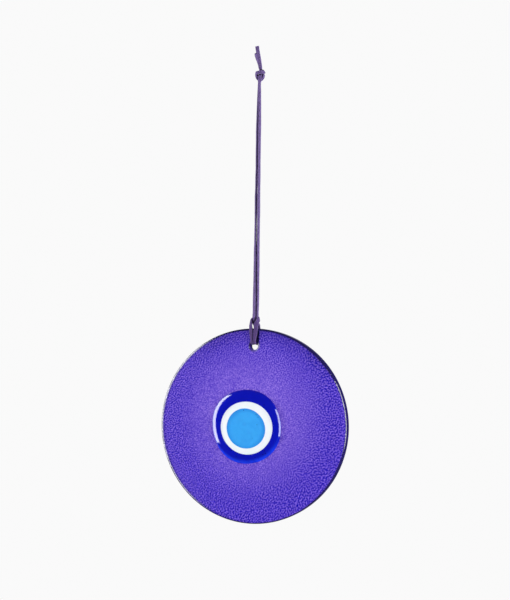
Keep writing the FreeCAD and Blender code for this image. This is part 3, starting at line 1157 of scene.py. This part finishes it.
# The camera looks at AIM, above the disc's centre. Its distance is in metres.
CAMERA_DISTANCE = 1.115
CAMERA_TILT = math.radians(-1.4)
CAMERA_ROLL = math.radians(0.93)
CAMERA_LENS = 100.0
SENSOR_WIDTH = 36.0
AIM = Vector((-0.6, 0.0, DISC_Z + 84.05)) * MM

# The floor's half width and its depth below the disc, in millimetres.
FLOOR_SIZE = 2500.0
FLOOR_DROP = 500.0

# Brightness round the object, from the viewer's side (0) to straight behind the object (1).
SURROUNDINGS = [(0.0, 0.05), (0.5, 0.06), (0.965, 0.08), (0.99, 0.96), (1.0, 0.98)]


def grey(value):
    return (value, value, value)


def outward(turn, rise):
    """A direction from the object: turned to the right from straight in front, and raised."""
    return Vector((math.sin(turn) * math.cos(rise), -math.cos(turn) * math.cos(rise),
                   math.sin(rise)))


def world_light():
    """A bright screen behind the object that falls off to dim sides. The camera itself sees
    an even pale background."""
    world = bpy.data.worlds.new("studio")
    bpy.context.scene.world = world
    world.use_nodes = True
    w = Nodes(world.node_tree)
    direction = w.node("TexCoord").outputs["Generated"]
    away = seen(0.0, 1.0)
    toward = w.node("VectorMath", {0: direction, 1: away}, operation="DOT_PRODUCT")
    share = w.math("MULTIPLY_ADD", toward.outputs["Value"], 0.5, 0.5)
    bright = w.ramp(share, [(place, grey(value)) for place, value in SURROUNDINGS])
    lit = w.node("Background", {"Color": bright})
    plain = w.node("Background", {"Color": grey(BACKDROP)})
    w.node("OutputWorld", {"Surface": w.for_camera(plain.outputs[0], lit.outputs[0])})


def floor():
    """A pale floor that the camera sees as bright as the backdrop."""
    s = Shader("pale_floor")
    grain = s.noise(s.place(), scale=0.05, detail=3.0)
    shade = s.ramp(grain, [(0.3, grey(0.80)), (0.7, grey(0.84))])
    matt = s.node("BsdfDiffuse", {"Color": shade})
    glow = s.node("Emission", {"Color": grey(BACKDROP)})
    either = s.for_camera(glow.outputs[0], matt.outputs[0])
    s.tree.links.new(either, s.output.inputs["Surface"])
    low = RIM_Z - 2 * RIM_RADIUS - FLOOR_DROP
    corners = [(across * FLOOR_SIZE, away * FLOOR_SIZE, low)
               for across, away in ((-1, -1), (1, -1), (1, 1), (-1, 1))]
    piece = mesh_piece("studio_floor", corners, [(0, 1, 2, 3)], s.material)
    piece.visible_glossy = False


def soft_light(name, turn, rise, distance, width, height, power, glossy=True):
    """A rectangular light round the eye's centre. Turn is from straight in front of the camera
    to the right, and rise is above the horizon, both in degrees. Sizes are in metres."""
    out = outward(math.radians(turn) + VIEW_TURN, math.radians(rise))
    lamp = bpy.data.lights.new(name, "AREA")
    lamp.shape = "RECTANGLE"
    lamp.size = width
    lamp.size_y = height
    lamp.energy = power
    light = bpy.data.objects.new(name, lamp)
    light.location = Vector((0.0, 0.0, DISC_Z * MM)) + out * distance
    light.rotation_euler = out.to_track_quat("Z", "Y").to_euler()
    light.visible_glossy = glossy
    light.visible_camera = False
    bpy.context.scene.collection.objects.link(light)


def make_camera():
    """A long lens, turned to the right of straight in front, a little low and slightly rolled."""
    out = outward(VIEW_TURN, CAMERA_TILT)
    lens = bpy.data.cameras.new("camera")
    lens.lens = CAMERA_LENS
    lens.sensor_width = SENSOR_WIDTH
    camera = bpy.data.objects.new("camera", lens)
    camera.location = AIM + out * CAMERA_DISTANCE
    aim = out.to_track_quat("Z", "Y").to_matrix().to_4x4()
    camera.rotation_euler = (aim @ Matrix.Rotation(CAMERA_ROLL, 4, "Z")).to_euler()
    bpy.context.scene.collection.objects.link(camera)
    bpy.context.scene.camera = camera


def make_studio():
    """Surroundings, floor, lights and camera. The two softboxes give the eye its highlights."""
    world_light()
    floor()
    soft_light("left_softbox", turn=-92, rise=12, distance=1.2, width=0.7, height=1.5, power=25.0)
    soft_light("right_softbox", turn=61, rise=8, distance=1.2, width=1.15, height=1.1, power=27.0)
    soft_light("front_fill", turn=8, rise=30, distance=1.6, width=1.2, height=1.2, power=4.7,
               glossy=False)
    make_camera()
    bpy.context.scene.view_settings.view_transform = "Standard"


make_glass()
make_lace()
make_studio()
